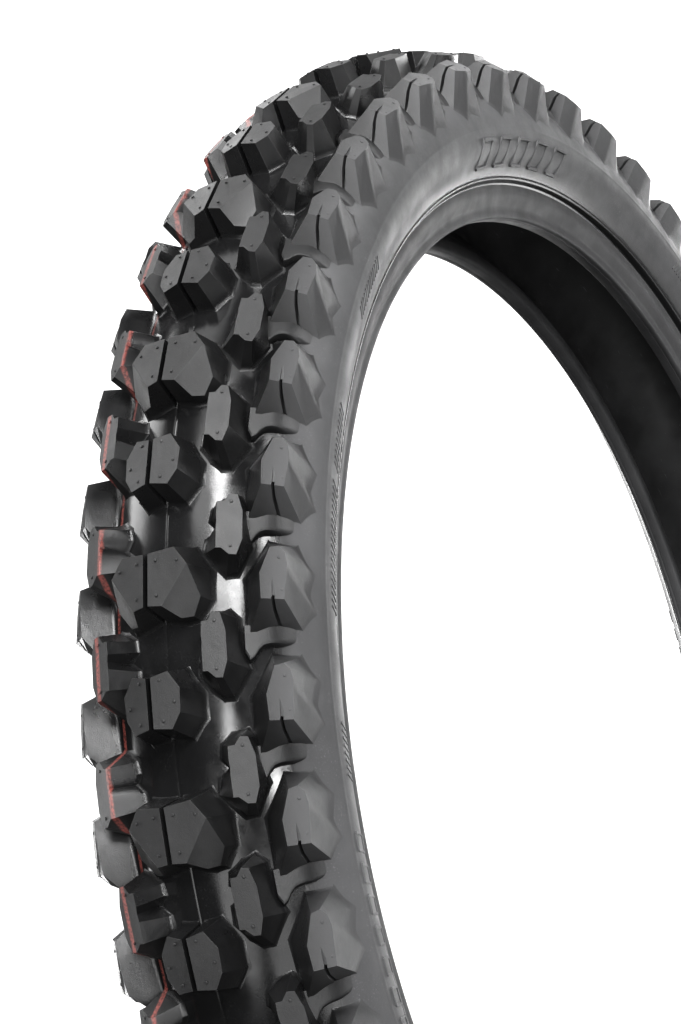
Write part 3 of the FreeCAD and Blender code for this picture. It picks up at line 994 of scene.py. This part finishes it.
FLOOR_HALF = 6.0
FLOOR_GAP = 0.0005
ROOM_LIGHT = 0.02
CAMERA_AZIMUTH = math.radians(-59.08)
CAMERA_ELEVATION = math.radians(-23.11)
CAMERA_DISTANCE = 1.1505
CAMERA_RIGHT = -0.1114
CAMERA_UP = 0.1249
CAMERA_LENS = 83.75
EXPOSURE = 0.8
GAMMA = 0.82


def studio_floor():
    """Pale paper under the tire: it takes the tire's shadow, and gives none and no light."""
    mesh = bmesh.new()
    bmesh.ops.create_grid(mesh, x_segments=8, y_segments=8, size=FLOOR_HALF)
    bmesh.ops.translate(mesh, verts=mesh.verts, vec=(0.0, 0.0, cad_box[0][2] - FLOOR_GAP))
    obj = mesh_object("studio_floor", mesh)
    obj.data.materials.append(floor_paper())
    obj.visible_shadow = False
    obj.visible_diffuse = False
    obj.visible_glossy = False


# Lamps as direction towards the lamp, angular size in degrees, and strength.
LAMPS = [
    ((-0.80, -0.15, 0.58), 12.0, 1.10),
    ((-0.85, 0.00, 0.53), 26.0, 0.67),
    ((-0.56, -0.70, 0.45), 12.0, 1.05),
    ((-0.87, -0.42, 0.25), 12.0, 0.88),
    ((-0.64, -0.75, -0.15), 12.0, 1.06),
    ((-0.89, -0.19, 0.42), 12.0, 0.60),
    ((-0.95, -0.27, -0.14), 12.0, 0.60),
    ((-0.97, -0.25, 0.05), 12.0, 0.15),
    ((-0.94, -0.23, 0.24), 12.0, 0.55),
    ((-0.89, 0.00, -0.45), 26.0, 0.59),
    ((-0.69, -0.50, -0.53), 26.0, 0.45),
    ((-0.28, -0.85, -0.45), 26.0, 0.50),
    ((-0.16, -0.50, -0.85), 26.0, 0.42),
    ((0.28, -0.85, 0.45), 26.0, 0.72),
    ((0.59, -0.81, 0.00), 26.0, 0.31),
    ((0.95, -0.31, 0.00), 26.0, 0.57),
    ((0.95, 0.31, 0.00), 26.0, 0.40),
    ((0.89, 0.00, 0.45), 26.0, 1.06),
    ((0.69, 0.50, 0.53), 26.0, 0.54),
    ((0.16, -0.50, 0.85), 26.0, 0.85),
    ((0.16, 0.50, 0.85), 26.0, 0.60),
    ((0.53, 0.00, 0.85), 26.0, 0.33),
    ((-0.43, 0.31, 0.85), 26.0, 0.33),
    ((-0.26, 0.81, 0.53), 26.0, 0.75),
    ((0.59, 0.81, 0.00), 26.0, 1.10),
    ((0.00, 1.00, 0.00), 26.0, 0.80),
]


def lamp(number, direction, degrees, strength):
    data = bpy.data.lights.new(f"lamp_{number}", "SUN")
    data.energy = strength
    data.angle = math.radians(degrees)
    obj = bpy.data.objects.new(f"lamp_{number}", data)
    scene.collection.objects.link(obj)
    obj.rotation_euler = Vector(direction).to_track_quat("Z", "Y").to_euler()


def studio_world():
    """White to the camera, and a dark room to everything else."""
    world = bpy.data.worlds.new("studio")
    scene.world = world
    world.use_nodes = True
    tree = world.node_tree
    tree.nodes.clear()
    room = tree.nodes.new("ShaderNodeBackground")
    room.inputs["Color"].default_value = (1.0, 1.0, 1.0, 1.0)
    room.inputs["Strength"].default_value = ROOM_LIGHT
    white = tree.nodes.new("ShaderNodeBackground")
    white.inputs["Color"].default_value = (1.0, 1.0, 1.0, 1.0)
    ray = tree.nodes.new("ShaderNodeLightPath")
    mix = tree.nodes.new("ShaderNodeMixShader")
    out = tree.nodes.new("ShaderNodeOutputWorld")
    tree.links.new(ray.outputs["Is Camera Ray"], mix.inputs[0])
    tree.links.new(room.outputs[0], mix.inputs[1])
    tree.links.new(white.outputs[0], mix.inputs[2])
    tree.links.new(mix.outputs[0], out.inputs[0])


def camera():
    """Low beside the tread, looking up along the near sidewall."""
    flat = math.cos(CAMERA_ELEVATION)
    back = Vector((math.sin(CAMERA_AZIMUTH) * flat, -math.cos(CAMERA_AZIMUTH) * flat,
                   math.sin(CAMERA_ELEVATION)))
    right = Vector((math.cos(CAMERA_AZIMUTH), math.sin(CAMERA_AZIMUTH), 0.0))
    up = back.cross(right)
    data = bpy.data.cameras.new("camera")
    data.sensor_fit = "AUTO"
    data.sensor_width = 36.0
    data.lens = CAMERA_LENS
    data.clip_start = 0.01
    obj = bpy.data.objects.new("camera", data)
    scene.collection.objects.link(obj)
    place = back * CAMERA_DISTANCE + right * CAMERA_RIGHT + up * CAMERA_UP
    obj.matrix_world = Matrix.Translation(place) @ Matrix((right, up, back)).transposed().to_4x4()
    scene.camera = obj


studio_floor()
studio_world()
for number, (direction, degrees, strength) in enumerate(LAMPS):
    lamp(number, direction, degrees, strength)
camera()
scene.view_settings.view_transform = "Standard"
scene.view_settings.look = "None"
scene.view_settings.exposure = EXPOSURE
scene.view_settings.gamma = GAMMA

bpy.context.view_layer.update()
